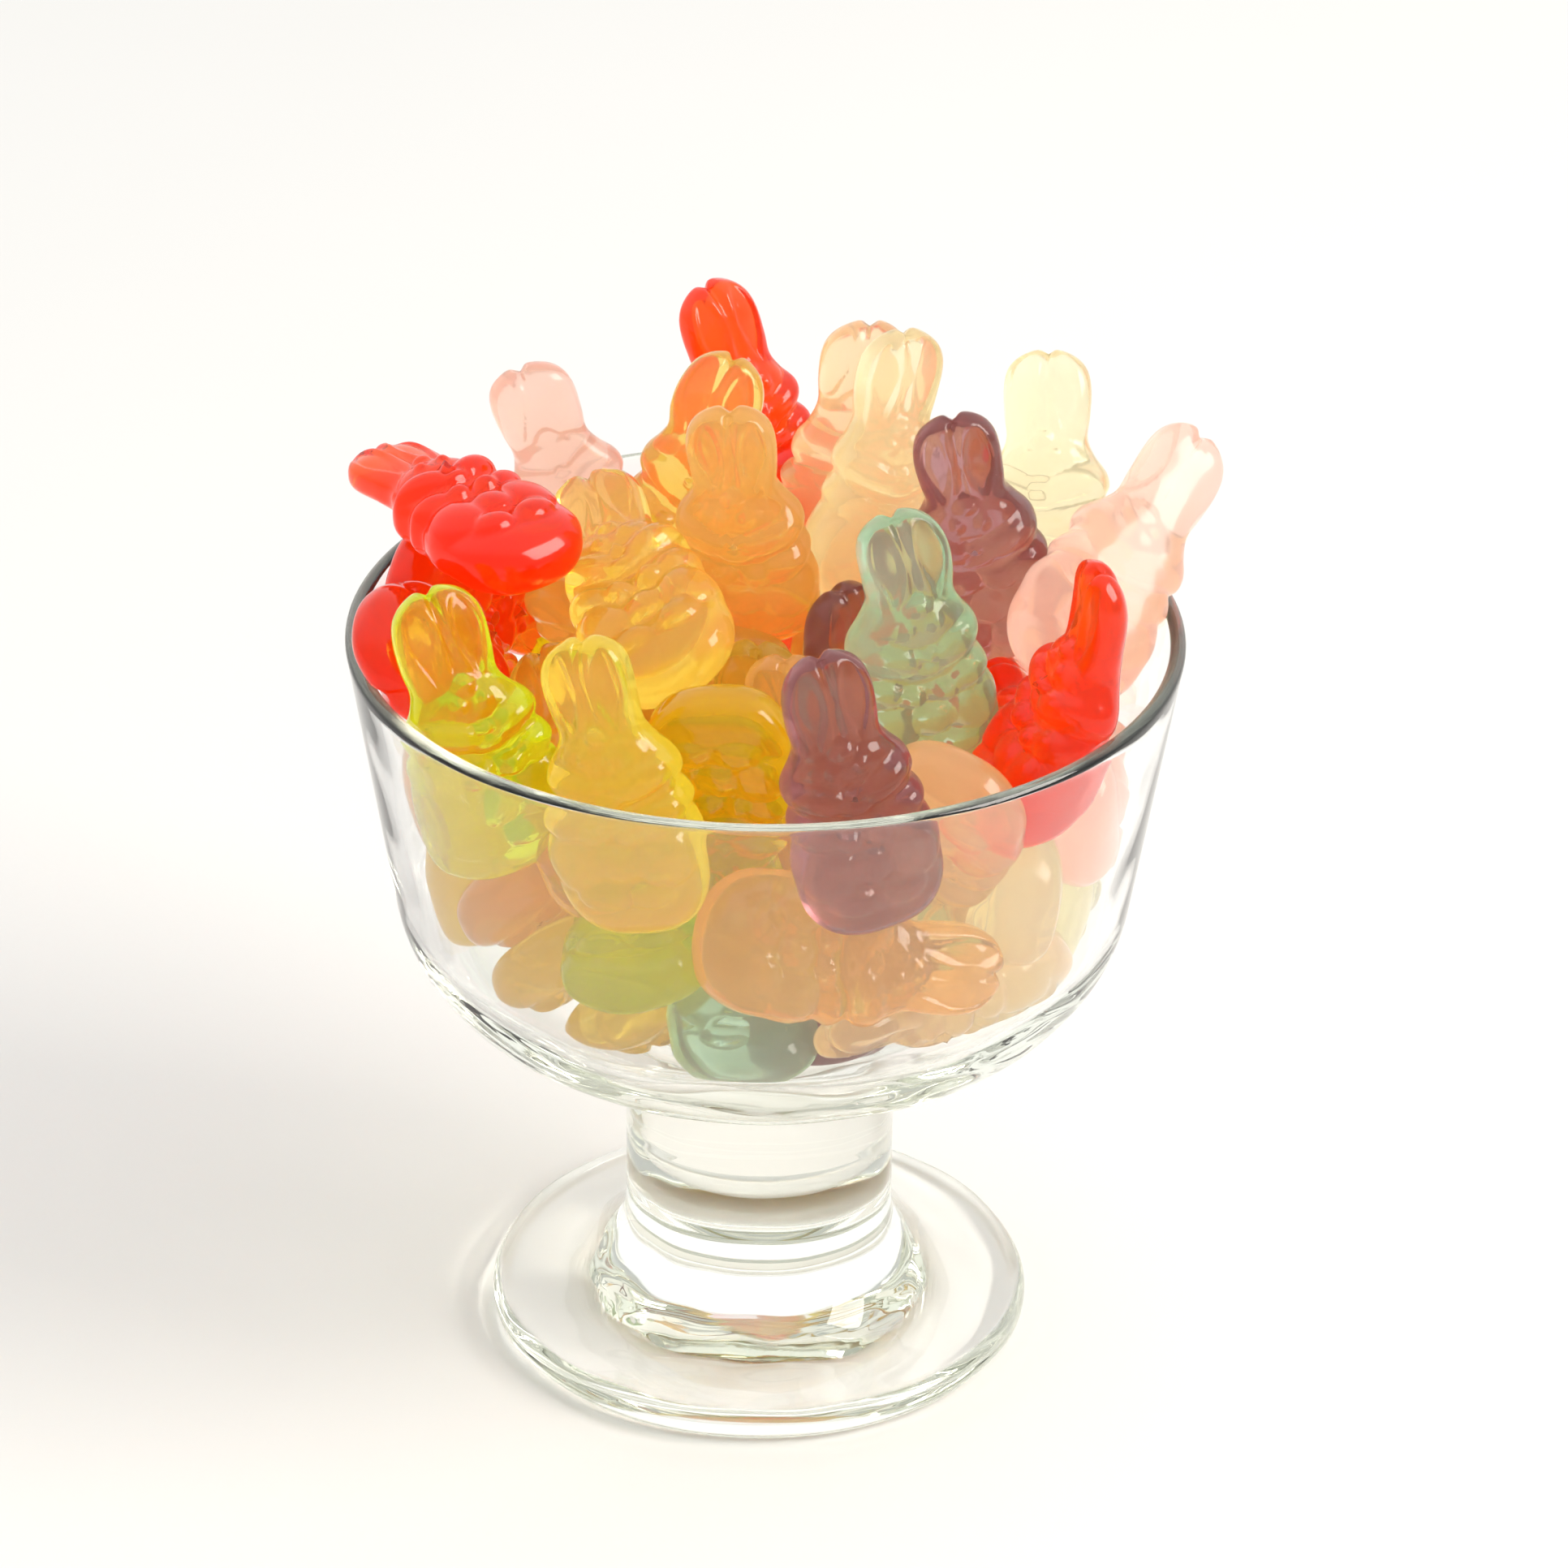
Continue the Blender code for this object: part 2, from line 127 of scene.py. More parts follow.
def mesh_piece(name: str, points: Array, quads: Array, triangles: Array,
               body: str = "root") -> bpy.types.Object:
    """Make a smooth mesh object from arrays and let it ride on a body.

    Args:
        name: The piece's name.
        points: Points in mm, one row each.
        quads: Four vertex numbers for each face.
        triangles: Three vertex numbers for each face.
        body: The CAD body that carries the piece, or nothing for the studio.

    Returns:
        The object, at the origin, with its place in its mesh.
    """
    mesh = bpy.data.meshes.new(name)
    corners = np.concatenate([quads.ravel(), triangles.ravel()])
    sizes = np.concatenate([np.full(len(quads), 4), np.full(len(triangles), 3)])
    mesh.vertices.add(len(points))
    mesh.vertices.foreach_set("co", (points * MM).astype(np.float32).ravel())
    mesh.loops.add(len(corners))
    mesh.loops.foreach_set("vertex_index", corners.astype(np.int32))
    mesh.polygons.add(len(sizes))
    mesh.polygons.foreach_set("loop_start", (np.cumsum(sizes) - sizes).astype(np.int32))
    mesh.polygons.foreach_set("use_smooth", np.ones(len(sizes), bool))
    mesh.update(calc_edges=True)
    mesh.validate()
    piece = bpy.data.objects.new(name, mesh)
    bpy.context.scene.collection.objects.link(piece)
    if body:
        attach(piece, body)
    return piece


def absorbing(leaves: Array, depth: float) -> dict[str, Any]:
    """Settings of an absorption that leaves a share of each colour at a depth.

    The loss per metre is minus the logarithm of what is left, over the depth. The
    node's own loss is (1 - colour) times density, so its density is a little over
    the largest loss, and no colour is negative.

    Args:
        leaves: What is left of red, green and blue light.
        depth: The depth that this is left at, in metres.

    Returns:
        The node's colour and density.
    """
    loss = -np.log(leaves) / depth
    density = float(loss.max() * 1.05)
    return {"Color": (*(1 - loss / density), 1), "Density": density}


def add_node(tree: bpy.types.NodeTree, kind: str, settings: dict[str, Any] | None = None,
             links: dict[str, bpy.types.NodeSocket] | None = None) -> bpy.types.Node:
    """Add a node with its settings and links.

    Args:
        tree: The node tree that it goes in.
        kind: The node's type name.
        settings: Properties by name, and input values by socket name.
        links: Sockets to join, by this node's input name.

    Returns:
        The new node.
    """
    node = tree.nodes.new(kind)
    for key, value in (settings or {}).items():
        if hasattr(node, key):
            setattr(node, key, value)
        else:
            node.inputs[key].default_value = value
    for key, socket in (links or {}).items():
        tree.links.new(socket, node.inputs[key])
    return node


# --- The bunny ---------------------------------------------------------------


@dataclass(frozen=True)
class Puff:
    """A puffy oval on a bunny's front, in mm: its place, half sizes and height, and its
    lean in degrees. One off the middle has a twin on the other side."""

    x: float
    z: float
    across: float
    along: float
    height: float
    lean: float = 0.0

    def swell(self, x: Array, z: Array) -> Array:
        """Height of the oval over its rim: the upper half of an ellipsoid.

        Args:
            x: Distance across from the middle, in mm.
            z: Height, in mm.

        Returns:
            The height in mm, 0 outside the oval.
        """
        side, lift = np.abs(x) - self.x, z - self.z
        turn = math.radians(self.lean)
        long_way = (side * math.cos(turn) + lift * math.sin(turn)) / self.across
        short_way = (lift * math.cos(turn) - side * math.sin(turn)) / self.along
        return self.height * np.sqrt(np.maximum(1 - long_way ** 2 - short_way ** 2, 0))


@dataclass(frozen=True)
class Bunny:
    """One gummy bunny, standing with its ears up and its face to -Y.

    Its rings are squared ellipses whose half width and half depth change with
    height. The front carries moulded relief, the back is almost plain.
    """

    length: float = 38.0
    middle: float = 17.0               # height that a lie's middle stands for
    squareness: float = 0.75           # 1 gives plain ellipses, less squarer ones
    end_power: float = 14.0            # higher ends the body more bluntly
    front_share: float = 0.35          # how much closer the points lie on the front
    half_width: tuple = (
        (0, 6.0), (3, 7.6), (5.8, 8.7), (9.0, 9.0), (11.6, 9.1), (13.6, 8.5), (14.7, 8.0), (16.3, 8.4),
        (17.5, 7.9), (18.5, 7.2), (20.2, 7.8), (21.9, 7.5), (23.8, 6.2), (26.0, 5.2), (29, 5.4),
        (32.5, 5.5), (35.2, 5.1), (36.8, 4.4), (38, 3.5))
    front_depth: tuple = (
        (0, 3.2), (4, 4.1), (8, 4.0), (12.5, 3.7), (16, 3.5), (20.8, 3.6), (24.5, 2.9), (27, 2.7),
        (30.5, 2.7), (34, 2.8), (38, 2.2))
    back_depth: tuple = (
        (0, 3.4), (4, 4.2), (9, 4.7), (16, 4.6), (21, 4.5), (25, 3.8), (29.5, 3.1), (35, 2.9),
        (38, 2.3))
    row_knots: tuple = ((0, 0), (0.06, 0.9), (0.14, 4.0), (0.78, 27.0), (0.93, 36.6), (1, 38))
    puffs: tuple[Puff, ...] = (
        Puff(3.1, 6.9, 3.0, 1.9, 1.4, 8),        # feet
        Puff(5.3, 11.0, 3.7, 3.6, 1.4, 20),      # thighs
        Puff(0.0, 10.9, 2.6, 2.5, 1.5),          # tummy
        Puff(2.0, 14.9, 1.9, 1.5, 1.8),          # paws
        Puff(5.6, 15.9, 3.5, 1.9, 1.3, 14),      # arms
        Puff(0.0, 18.6, 2.3, 1.2, 1.4),          # chin
        Puff(3.7, 20.6, 4.0, 2.1, 1.6, 22),      # cheeks
        Puff(0.0, 20.9, 1.0, 0.8, 2.1),          # nose
        Puff(0.0, 23.9, 5.2, 2.4, 1.0),          # forehead
        Puff(1.65, 24.2, 1.15, 1.1, 1.5),        # eyes
        Puff(0.0, 26.2, 1.5, 1.1, 1.3),          # tuft between the ears
    )
    crease_power: int = 8                           # higher makes sharper creases
    relief_edge: tuple[float, float] = (0.05, 0.6)  # shares of the depth it fades in over
    relief_end: float = 0.35                        # share of an end's full width, likewise
    ear_groove: float = 0.8                         # depth of the groove between the ears
    ear_groove_width: float = 0.45
    ear_groove_start: tuple[float, float] = (26.8, 28.6)
    ear_notch: float = 0.8                          # depth of the notch between their tips
    ear_notch_width: float = 0.75
    ear_tips: tuple[float, float] = (30.0, 37.5)
    back_groove: float = 0.3                        # depth of the groove behind the tips
    back_groove_width: float = 0.6
    back_edge: tuple[float, float] = (0.2, 0.9)
    ear_hollow: float = 0.55                        # depth of the hollow in each ear
    hollow_place: tuple[float, float] = (2.65, 31.8)
    hollow_halves: tuple[float, float] = (1.7, 4.9)
    hollow_edge: tuple[float, float] = (1.25, 0.7)
    hollow_narrow: float = 0.4                           # width at its lower end, as a share
    hollow_widens: tuple[float, float] = (26.5, 33.0)
    wave_count: int = 5
    wave_lengths: tuple[float, float] = (11, 26)
    wave_height: float = 0.14

    def relief(self, x: Array, z: Array) -> Array:
        """Height of the moulded relief on the front.

        The ovals meet in sharp creases: their sum is the eighth root of the sum of
        their eighth powers. Each ear then loses a teardrop hollow, narrower towards
        the head, and a narrow groove parts the ears.

        Args:
            x: Distance across from the middle, in mm.
            z: Height, in mm.

        Returns:
            Height of the front over its plain surface, in mm.
        """
        swells = np.stack([puff.swell(x, z) for puff in self.puffs])
        height = (swells ** self.crease_power).sum(0) ** (1 / self.crease_power)
        narrow = self.hollow_narrow
        wide = self.hollow_halves[0] * (narrow + (1 - narrow) * smooth_step(*self.hollow_widens, z))
        hollow = (((np.abs(x) - self.hollow_place[0]) / wide) ** 2
                  + ((z - self.hollow_place[1]) / self.hollow_halves[1]) ** 2)
        height -= self.ear_hollow * smooth_step(*self.hollow_edge, hollow)
        starts = smooth_step(*self.ear_groove_start, z)
        height -= self.ear_groove * starts * np.exp(-(x / self.ear_groove_width) ** 2)
        return height

    def rings(self, around: int, along: int) -> Array:
        """Points of the body, ring by ring from the rump to the ear tips.

        A point at angle a lies at (half width x cos a, half depth x sin a), each to
        a power that squares the ellipse. Both shrink at the ends by the root of 1
        less a high power of the distance from half height. The rings lie closer at
        both ends, and their points closer on the front.

        Args:
            around: Points on a ring.
            along: Number of rings, each end point not counted.

        Returns:
            Array (along, around, 3) in mm.
        """
        height = curve_through(self.row_knots, np.linspace(0, 1, along + 2)[1:-1])
        end = np.sqrt(1 - np.abs(2 * height / self.length - 1) ** self.end_power)
        angle = np.linspace(0, 2 * np.pi, around, endpoint=False)
        angle = angle - self.front_share * np.cos(angle)
        across = np.sign(np.cos(angle)) * np.abs(np.cos(angle)) ** self.squareness
        through = np.sign(np.sin(angle)) * np.abs(np.sin(angle)) ** self.squareness
        x = (end * curve_through(self.half_width, height))[:, None] * across
        depth = np.where(through < 0, curve_through(self.front_depth, height)[:, None],
                         curve_through(self.back_depth, height)[:, None])
        y = end[:, None] * depth * through
        z = height[:, None] + 0 * x
        facing = smooth_step(*self.relief_edge, -through)[None]
        y = y - facing * smooth_step(0, self.relief_end, end)[:, None] * self.relief(x, z)
        tips = smooth_step(*self.ear_tips, height)[:, None]
        z = z - tips * self.ear_notch * np.exp(-(x / self.ear_notch_width) ** 2)
        behind = smooth_step(*self.back_edge, through)
        y = y - self.back_groove * tips * behind * np.exp(-(x / self.back_groove_width) ** 2)
        return np.stack([x, y, z], axis=-1)

    def uneven(self, points: Array, draw: np.random.RandomState) -> Array:
        """Make one sweet a little unlike the next.

        Five slow waves, 11 to 26 mm long and each some 0.2 mm high, move its points.

        Args:
            points: The straight body's points.
            draw: Source of the random waves.

        Returns:
            The moved points.
        """
        ways = draw.normal(size=(self.wave_count, 3))
        lengths = draw.uniform(*self.wave_lengths, (self.wave_count, 1))
        ways *= (2 * np.pi / lengths) / np.linalg.norm(ways, axis=1, keepdims=True)
        waves = np.cos(points @ ways.T + draw.uniform(0, 6.28, self.wave_count))
        return points + waves @ draw.normal(size=(self.wave_count, 3)) * self.wave_height

    def shape(self, around: int, along: int) -> tuple[Array, Array, Array]:
        """The closed body as points and faces.

        Args:
            around: Points on a ring.
            along: Number of rings.

        Returns:
            Points in mm, four-cornered faces and three-cornered faces.
        """
        rings = self.rings(around, along)
        ends = np.array([[0, 0, 0.0], [0, 0, self.length - self.ear_notch]])
        low, high = along * around, along * around + 1
        side = np.arange(around)
        caps = np.concatenate([fan(low, side[::-1]), fan(high, side + (along - 1) * around)])
        return np.concatenate([rings.reshape(-1, 3), ends]), closed_grid_faces(along, around), caps

    def bent(self, points: Array, bend: float, size: float) -> Array:
        """Bend, size and centre a body.

        A point moves back by the bend times the square of its distance from half
        height, taken as a share of that half height.

        Args:
            points: The straight body's points.
            bend: How far the ends move back, in mm.
            size: Scale of the whole.

        Returns:
            Points about the middle of the body.
        """
        half = self.length / 2
        made = points.copy()
        made[:, 1] += bend * ((made[:, 2] - half) / half) ** 2
        made[:, 2] -= self.middle
        return made * size


# --- How the sweets lie ------------------------------------------------------


class Flavour(Enum):
    """The colours of sweets in the glass."""

    RED = "red"
    PINK = "pink"
    YELLOW = "yellow"
    CLEAR_YELLOW = "clear_yellow"
    GOLD = "gold"
    ORANGE = "orange"
    CORAL = "coral"
    PEACH = "peach"
    CREAM = "cream"
    PURPLE = "purple"
    MINT = "mint"
    LIME = "lime"
    AMBER = "amber"


@dataclass(frozen=True)
class Lie:
    """How a bunny lies: middle in mm, tilt from upright, heading that the ears lean to
    (0 is +X, 90 is +Y) and turn of the face (0 faces the front) in degrees, bend in mm."""

    flavour: Flavour
    middle: tuple[float, float, float]
    tilt: float
    heading: float
    turn: float
    bend: float = 0.0
    size: float = 1.0

    def rotation(self) -> Array:
        """Work out how the bunny is turned.

        Returns:
            Rotation matrix: its columns are the bunny's own X, Y and Z in the frame.
        """
        tilt, heading, turn = np.radians((self.tilt, self.heading, self.turn))
        lean = math.sin(tilt)
        up = np.array([lean * math.cos(heading), lean * math.sin(heading), math.cos(tilt)])
        front = np.array([0.0, -1.0, 0.0])
        front = front - (front @ up) * up
        front /= np.linalg.norm(front)
        front = front * math.cos(turn) + np.cross(up, front) * math.sin(turn)
        return np.stack([np.cross(up, front), -front, up], axis=1)


F = Flavour
STANDING = (
    Lie(F.RED, (-36.5, 3, 112), 85, 132, 82, 1, 1.00),            # lies over the left rim
    Lie(F.PINK, (-24.5, 29, 100.3), 22, 158, 195, 1, 1.00),       # back turned, far left
    Lie(F.CLEAR_YELLOW, (-16, -6, 106.5), 73, 110, 28, 0, 1.04),  # glossy, lies on its back
    Lie(F.GOLD, (-10, 19, 106.2), 14, -27, -12, 1, 0.98),
    Lie(F.ORANGE, (-3, 3, 108.3), 15, -111, -5, 1, 1.02),         # middle
    Lie(F.RED, (-1.5, 40, 105.6), 21, 162, 40, 2, 1.00),          # the tallest, at the back
    Lie(F.PEACH, (10.2, 26, 106.6), 7, 14, 180, 1, 1.00),
    Lie(F.CREAM, (14, 16, 109.4), 9, -18, 30, 1, 1.00),
    Lie(F.PURPLE, (26, 8, 105.3), 17, -122, 0, 0, 1.02),
    Lie(F.CREAM, (35, 24, 102), 16, 88, -12, 0, 1.00),
    Lie(F.PINK, (43, 5, 104), 56, 53, 176, 1, 1.04),              # leans over the right rim
    Lie(F.RED, (38, -24.5, 97.2), 17, -25, -72, -4, 1.02),        # side view, bent
    Lie(F.MINT, (18.7, -17, 102.8), 12, -155, 18, 0, 1.04),
    Lie(F.PURPLE, (10.5, -40.5, 96.6), 15, -145, 14, 0, 1.02),    # at the glass, front
    Lie(F.YELLOW, (-16.5, -37.5, 95.3), 14, -172, -12, 0, 1.04),  # at the glass, front
    Lie(F.LIME, (-36, -26, 92.4), 17, 160, 25, 1, 1.03),
)
BETWEEN = (
    Lie(F.AMBER, (-4.5, -31, 91), 168, 60, 8, 0, 0.97),
    Lie(F.CORAL, (5, -20, 87), 13, -118, -10, 0, 1.00),
    Lie(F.PEACH, (23, -27, 84), 149, 92, 25, 0, 1.00),            # head down
    Lie(F.RED, (-39, -5, 97), 116, 66, -85, 2, 1.00),
    Lie(F.RED, (-37, 20, 92), 122, 59, -40, 1, 1.00),
    Lie(F.ORANGE, (-18, 14, 90), 131, 61, 48, 0, 1.00),
    Lie(F.AMBER, (-26, 7, 83), 105, 102, 77, 0, 1.00),
    Lie(F.PURPLE, (10, 3, 85), 14, -106, 51, 0, 1.00),
    Lie(F.GOLD, (1, -9, 83), 15, -116, -11, 0, 1.00),
    Lie(F.RED, (31, 2, 84), 66, -84, -47, 0, 1.00),
    Lie(F.PINK, (40, -3.7, 78.8), 97, 86, -51, 0, 1.00),
    Lie(F.ORANGE, (-23, -20, 85), 55, 110, 5, 0, 1.00),
)
AT_THE_GLASS = (
    Lie(F.PEACH, (-40, -6, 81), 102, 96, -130, 0, 1.00),
    Lie(F.GOLD, (-36, 5, 64), 95, 80, -44, 0, 1.00),
    Lie(F.CORAL, (-24.5, -9, 68), 108, 56, 14, 0, 1.00),
    Lie(F.GOLD, (-20.5, -12, 60), 106, 65, 16, 0, 0.95),
    Lie(F.LIME, (-14, -28, 73), 87, 83, -74, 0, 1.00),
    Lie(F.GOLD, (-8, -19, 58), 94, 60, 40, 0, 1.00),
    Lie(F.MINT, (-5, -27, 65.5), 48, 104, 20, 0, 1.00),
    Lie(F.CORAL, (8, -36, 73.7), 104, 13, -26, 0, 1.00),          # flat against the glass
    Lie(F.PEACH, (23, -24, 61), 87, -138, -44, 0, 1.00),
    Lie(F.PURPLE, (10, -15, 56), 90, 64, 89, 0, 1.00),
    Lie(F.CREAM, (29, -16, 76), 96, 98, 47, 0, 0.95),
    Lie(F.CREAM, (36.3, 4, 64.3), 85, 94, 143, 0, 1.00),
    Lie(F.MINT, (27, 6, 60), 89, 85, -177, 0, 1.00),
)
FILL_FLAVOURS = (F.PEACH, F.GOLD, F.CORAL, F.PINK, F.CREAM, F.RED, F.ORANGE, F.LIME, F.AMBER, F.MINT)


@dataclass
class Glass:
    """The footed glass, turned in one piece, sizes in mm."""

    height: float = 99.2
    rim_radius: float = 52.0
    lip: float = 1.0
    wall_taper: float = 8.8
    belly_radius: float = 27.5
    belly_height: float = 66.0
    belly_outer: float = 19.3
    belly_inner: float = 17.0
    floor_top: float = 50.8
    floor_dip: float = 0.5
    under_rise: float = 0.8
    stem_radius: float = 17.3
    stem_fillet: float = 3.0
    foot_radius: float = 35.0
    foot_edge: float = 2.2
    foot_top: float = 4.9
    flare_radius: float = 27.0
    flare_height: float = 16.5
    step: float = 0.9                           # between points of the turned line
    around: int = 192                           # points round the glass
    waves: tuple = ((0.10, 3, 0.31, 0.0), (0.07, 7, -0.45, 1.0), (0.04, 13, 0.70, 2.0))
    ring_wave: float = 0.05                     # height of the rings at the stem's foot
    ring_length: float = 2.6
    ring_middle: float = 17.5
    ring_spread: float = 4.5
    calm_above: tuple[float, float] = (46, 70)  # heights that the waves die out over
    calm_axis: tuple[float, float] = (8, 20)    # radii that they begin over
    calm_base: tuple[float, float] = (0.02, 1.2)# heights that they begin over

    @staticmethod
    def arc(centre: tuple[float, float], radii: tuple[float, float], start: float, end: float,
            count: int) -> Array:
        """Points on an ellipse's arc.

        Args:
            centre: The ellipse's centre, as (r, z).
            radii: Its half widths along r and z.
            start: Angle of the first point, in degrees.
            end: Angle of the last point.
            count: Number of points.

        Returns:
            One row (r, z) for each point.
        """
        angle = np.radians(np.linspace(start, end, count))
        turned = np.stack([np.cos(angle), np.sin(angle)], axis=1)
        return np.array(centre) + np.array(radii) * turned

    def inside(self, count: int) -> Array:
        """The inside of the cup as (r, z), from the floor's middle up to the rim.

        Args:
            count: Points on the round belly.

        Returns:
            One row for each point of the line.
        """
        radii = (self.belly_inner, self.belly_height - self.floor_top)
        belly = self.arc((self.belly_radius, self.belly_height), radii, -90, -self.wall_taper, count)
        start = np.array([[0.0, self.floor_top - self.floor_dip]])
        end = np.array([[self.rim_radius - 2 * self.lip, self.height - self.lip]])
        return np.concatenate([start, belly, end])

    def outline(self) -> Array:
        """The whole glass as (r, z), up the inside and down the outside to the foot's middle.

        Returns:
            Points about a millimetre apart, closer on tight curves, one row each.
        """
        under = self.belly_height - self.belly_outer - self.under_rise
        lip, fillet, edge = self.lip, self.stem_fillet, self.foot_edge
        belly = (self.belly_outer, self.belly_outer)
        flare = (self.flare_radius - self.stem_radius, self.flare_height - self.foot_top)
        line = np.concatenate([
            self.inside(25)[:-1],
            self.arc((self.rim_radius - lip, self.height - lip), (lip, lip), 180, 0, 13),
            self.arc((self.belly_radius, self.belly_height), belly, -self.wall_taper, -90, 25),
            self.arc((self.stem_radius + fillet, under - fillet), (fillet, fillet), 90, 180, 9),
            self.arc((self.flare_radius, self.flare_height), flare, 180, 270, 17),
            self.arc((self.foot_radius - edge, edge), (edge, edge), 90, -90, 17),
            np.array([[0.0, 0.0]]),
        ])
        moves = np.diff(line, axis=0)
        steps = np.maximum(np.rint(np.linalg.norm(moves, axis=1) / self.step).astype(int), 1)
        made = [line[i] + moves[i] * np.arange(n)[:, None] / n for i, n in enumerate(steps)]
        return np.concatenate(made + [line[-1:]])

    def ripple(self, radius: Array, height: Array, angle: Array) -> Array:
        """How far the pressed surface waves in or out, in mm.

        Shallow rings run round the stem's foot, where the mould's halves met, and
        broad uneven waves lie under the cup and on the foot, where the glass cooled
        last. Each wave is its height times the cosine of (count x angle + lean x
        radius + start). All die out at the rim and the base, the waves at the axis.

        Args:
            radius: Distance from the axis.
            height: Height over the table.
            angle: Angle about the axis.

        Returns:
            Offset along the surface's normal.
        """
        low = 1 - smooth_step(*self.calm_above, height)
        uneven = sum(high * np.cos(count * angle + lean * radius + start)
                     for high, count, lean, start in self.waves)
        rings = (self.ring_wave * np.cos(height * 2 * np.pi / self.ring_length)
                 * np.exp(-((height - self.ring_middle) / self.ring_spread) ** 2))
        calm = smooth_step(*self.calm_base, height)
        return (uneven * smooth_step(*self.calm_axis, radius) + rings) * low * calm

    def build(self) -> bpy.types.Object:
        """Turn the outline round the axis.

        A point at angle a on the turned line (r, z) is (r cos a, r sin a, z), moved
        along the line's normal by the ripple.

        Returns:
            The glass, which stands for the CAD node.
        """
        line = self.outline()
        ends, body = line[[0, -1]], line[1:-1]
        along = np.gradient(line, axis=0)[1:-1]
        normal = np.stack([along[:, 1], -along[:, 0]], axis=1)
        normal /= np.linalg.norm(normal, axis=1, keepdims=True)
        angle = np.linspace(0, 2 * np.pi, self.around, endpoint=False)
        radius, height = body[:, :1], body[:, 1:]
        wave = self.ripple(radius, height, angle[None])
        r = radius + normal[:, :1] * wave
        z = height + normal[:, 1:] * wave
        points = np.stack([r * np.cos(angle), r * np.sin(angle), z + 0 * angle], axis=-1).reshape(-1, 3)
        poles = np.array([[0, 0, ends[0, 1]], [0, 0, ends[1, 1]]])
        quads = closed_grid_faces(len(body), self.around)
        side = np.arange(self.around)
        last = (len(body) - 1) * self.around
        caps = np.concatenate([fan(len(points), side), fan(len(points) + 1, last + side[::-1])])
        piece = mesh_piece("turned_glass", np.concatenate([points, poles]), quads[:, ::-1], caps)
        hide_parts("glass_bowl")
        return piece


